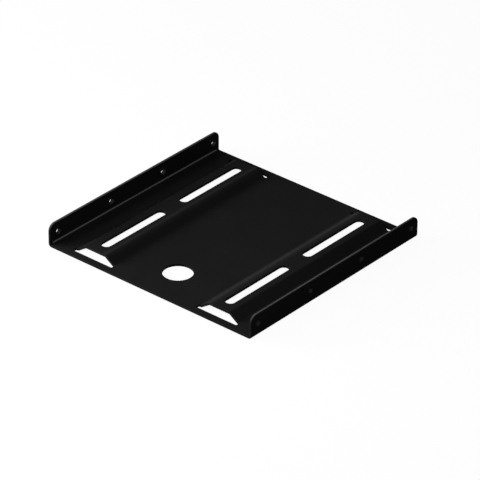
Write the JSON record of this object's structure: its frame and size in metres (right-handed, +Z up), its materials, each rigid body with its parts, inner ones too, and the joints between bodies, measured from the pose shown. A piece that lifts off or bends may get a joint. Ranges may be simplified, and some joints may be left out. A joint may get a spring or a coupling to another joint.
{
  "type": "drive bay adapter bracket",
  "caption": "Folded sheet-metal tray with upturned side flanges and raised slotted strips that holds a small drive in a larger drive bay.",
  "frame": {"origin": "middle of the base's plan, on its underside", "axes": "+X across the bay, +Y from the front edge to the rear edge, +Z up, towards the tops of the flanges"},
  "size_m": [0.101, 0.098, 0.0096],
  "materials": {
    "black_coat": "satin black powder coat"
  },
  "bodies": {
    "root": {"adapter_bracket": "black_coat"}
  },
  "joints": []
}
